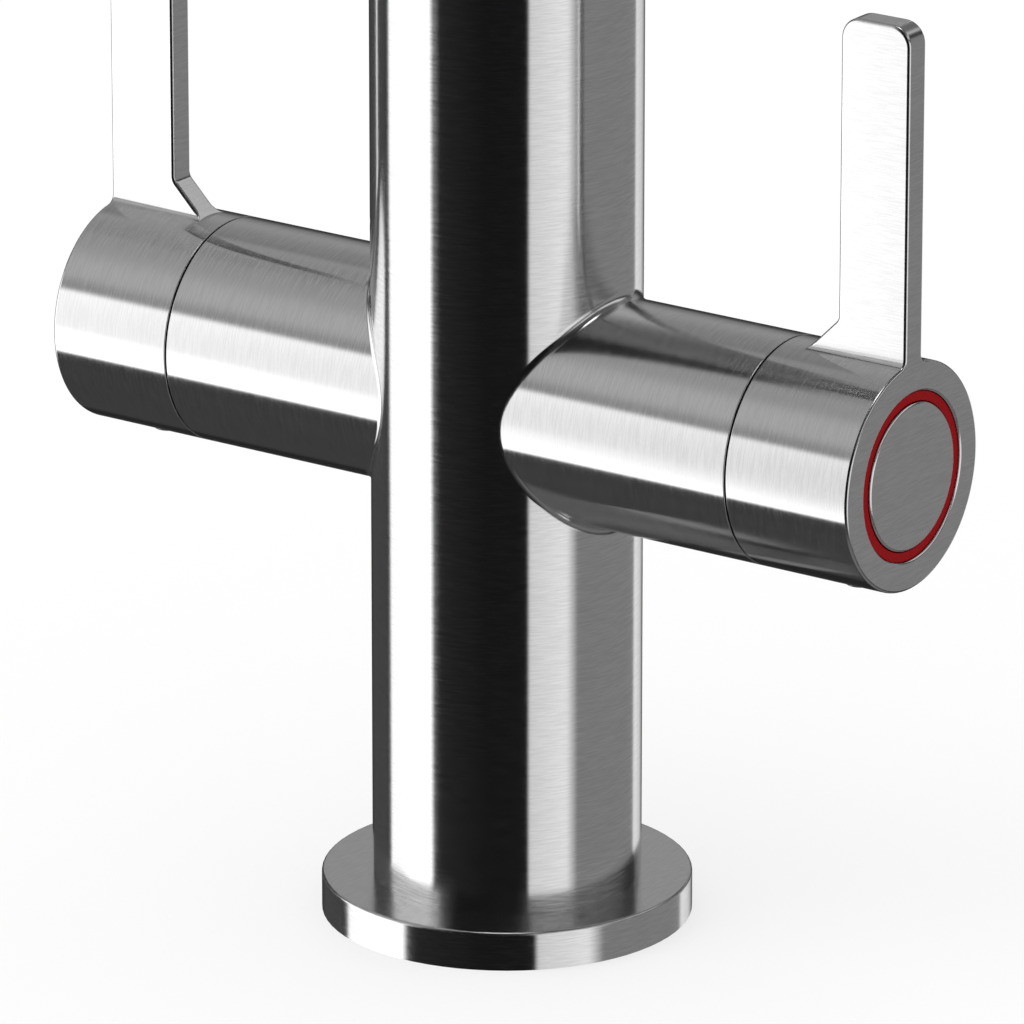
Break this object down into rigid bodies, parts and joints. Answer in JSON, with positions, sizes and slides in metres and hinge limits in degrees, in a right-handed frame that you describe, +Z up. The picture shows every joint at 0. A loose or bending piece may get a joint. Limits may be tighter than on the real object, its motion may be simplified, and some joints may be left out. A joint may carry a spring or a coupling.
{
  "type": "twin lever kitchen tap",
  "caption": "Deck-mounted kitchen mixer tap: round column with side lever valves, a swivelling arched spout and a round base flange.",
  "frame": {"origin": "centre of the base flange's underside, on the worktop", "axes": "+Z up the column, +X along the barrel of the hot side, +Y towards the sink, where the spout points at rest"},
  "size_m": [0.1346, 0.2387, 0.3425],
  "materials": {
    "brushed_steel": "brushed",
    "screw_steel": "satin",
    "brass": "machined",
    "ceramic": "lapped",
    "black_rubber": "matte",
    "white_nylon": "matte",
    "red_ring": "satin",
    "blue_ring": "satin"
  },
  "bodies": {
    "base": {"tap_body": "brushed_steel", "inlet_block": "brass", "base_flange": "brushed_steel", "base_seal": "black_rubber", "spout_glide_ring": "white_nylon", "spout_lock_screw": "screw_steel", "hot_valve_body": "brass", "hot_valve_seal": "black_rubber", "hot_seat_washer": "black_rubber", "hot_fixed_disc": "ceramic", "hot_glide_ring": "white_nylon", "cold_valve_body": "brass", "cold_valve_seal": "black_rubber", "cold_seat_washer": "black_rubber", "cold_fixed_disc": "ceramic", "cold_glide_ring": "white_nylon"},
    "hot_side": {"hot_moving_disc": "ceramic", "hot_spindle": "brass", "hot_spindle_seals": "black_rubber", "hot_spindle_clip": "screw_steel", "hot_lever": "brushed_steel", "hot_indicator_ring": "red_ring", "hot_end_cap": "brushed_steel", "hot_grub_screw": "screw_steel", "hot_screw_plug": "brushed_steel"},
    "cold_side": {"cold_moving_disc": "ceramic", "cold_spindle": "brass", "cold_spindle_seals": "black_rubber", "cold_spindle_clip": "screw_steel", "cold_lever": "brushed_steel", "cold_indicator_ring": "blue_ring", "cold_end_cap": "brushed_steel", "cold_grub_screw": "screw_steel", "cold_screw_plug": "brushed_steel"},
    "spout": {"spout_base": "brushed_steel", "spout_tube": "brushed_steel", "spout_seals": "black_rubber", "outlet_bush": "brass", "aerator_housing": "brushed_steel", "aerator_insert": "white_nylon", "aerator_washer": "black_rubber"}
  },
  "joints": [
    {"name": "hot_lever_turn", "type": "hinge", "parent": "base", "child": "hot_side", "pos_m": [0.0574, 0, 0.0767], "axis": [-1, 0, 0], "range_deg": [0, 90]},
    {"name": "cold_lever_turn", "type": "hinge", "parent": "base", "child": "cold_side", "pos_m": [-0.0574, 0, 0.0767], "axis": [-1, 0, 0], "range_deg": [0, 90]},
    {"name": "spout_swivel", "type": "hinge", "parent": "base", "child": "spout", "pos_m": [0, 0, 0.15], "axis": [0, 0, 1], "continuous": true}
  ]
}
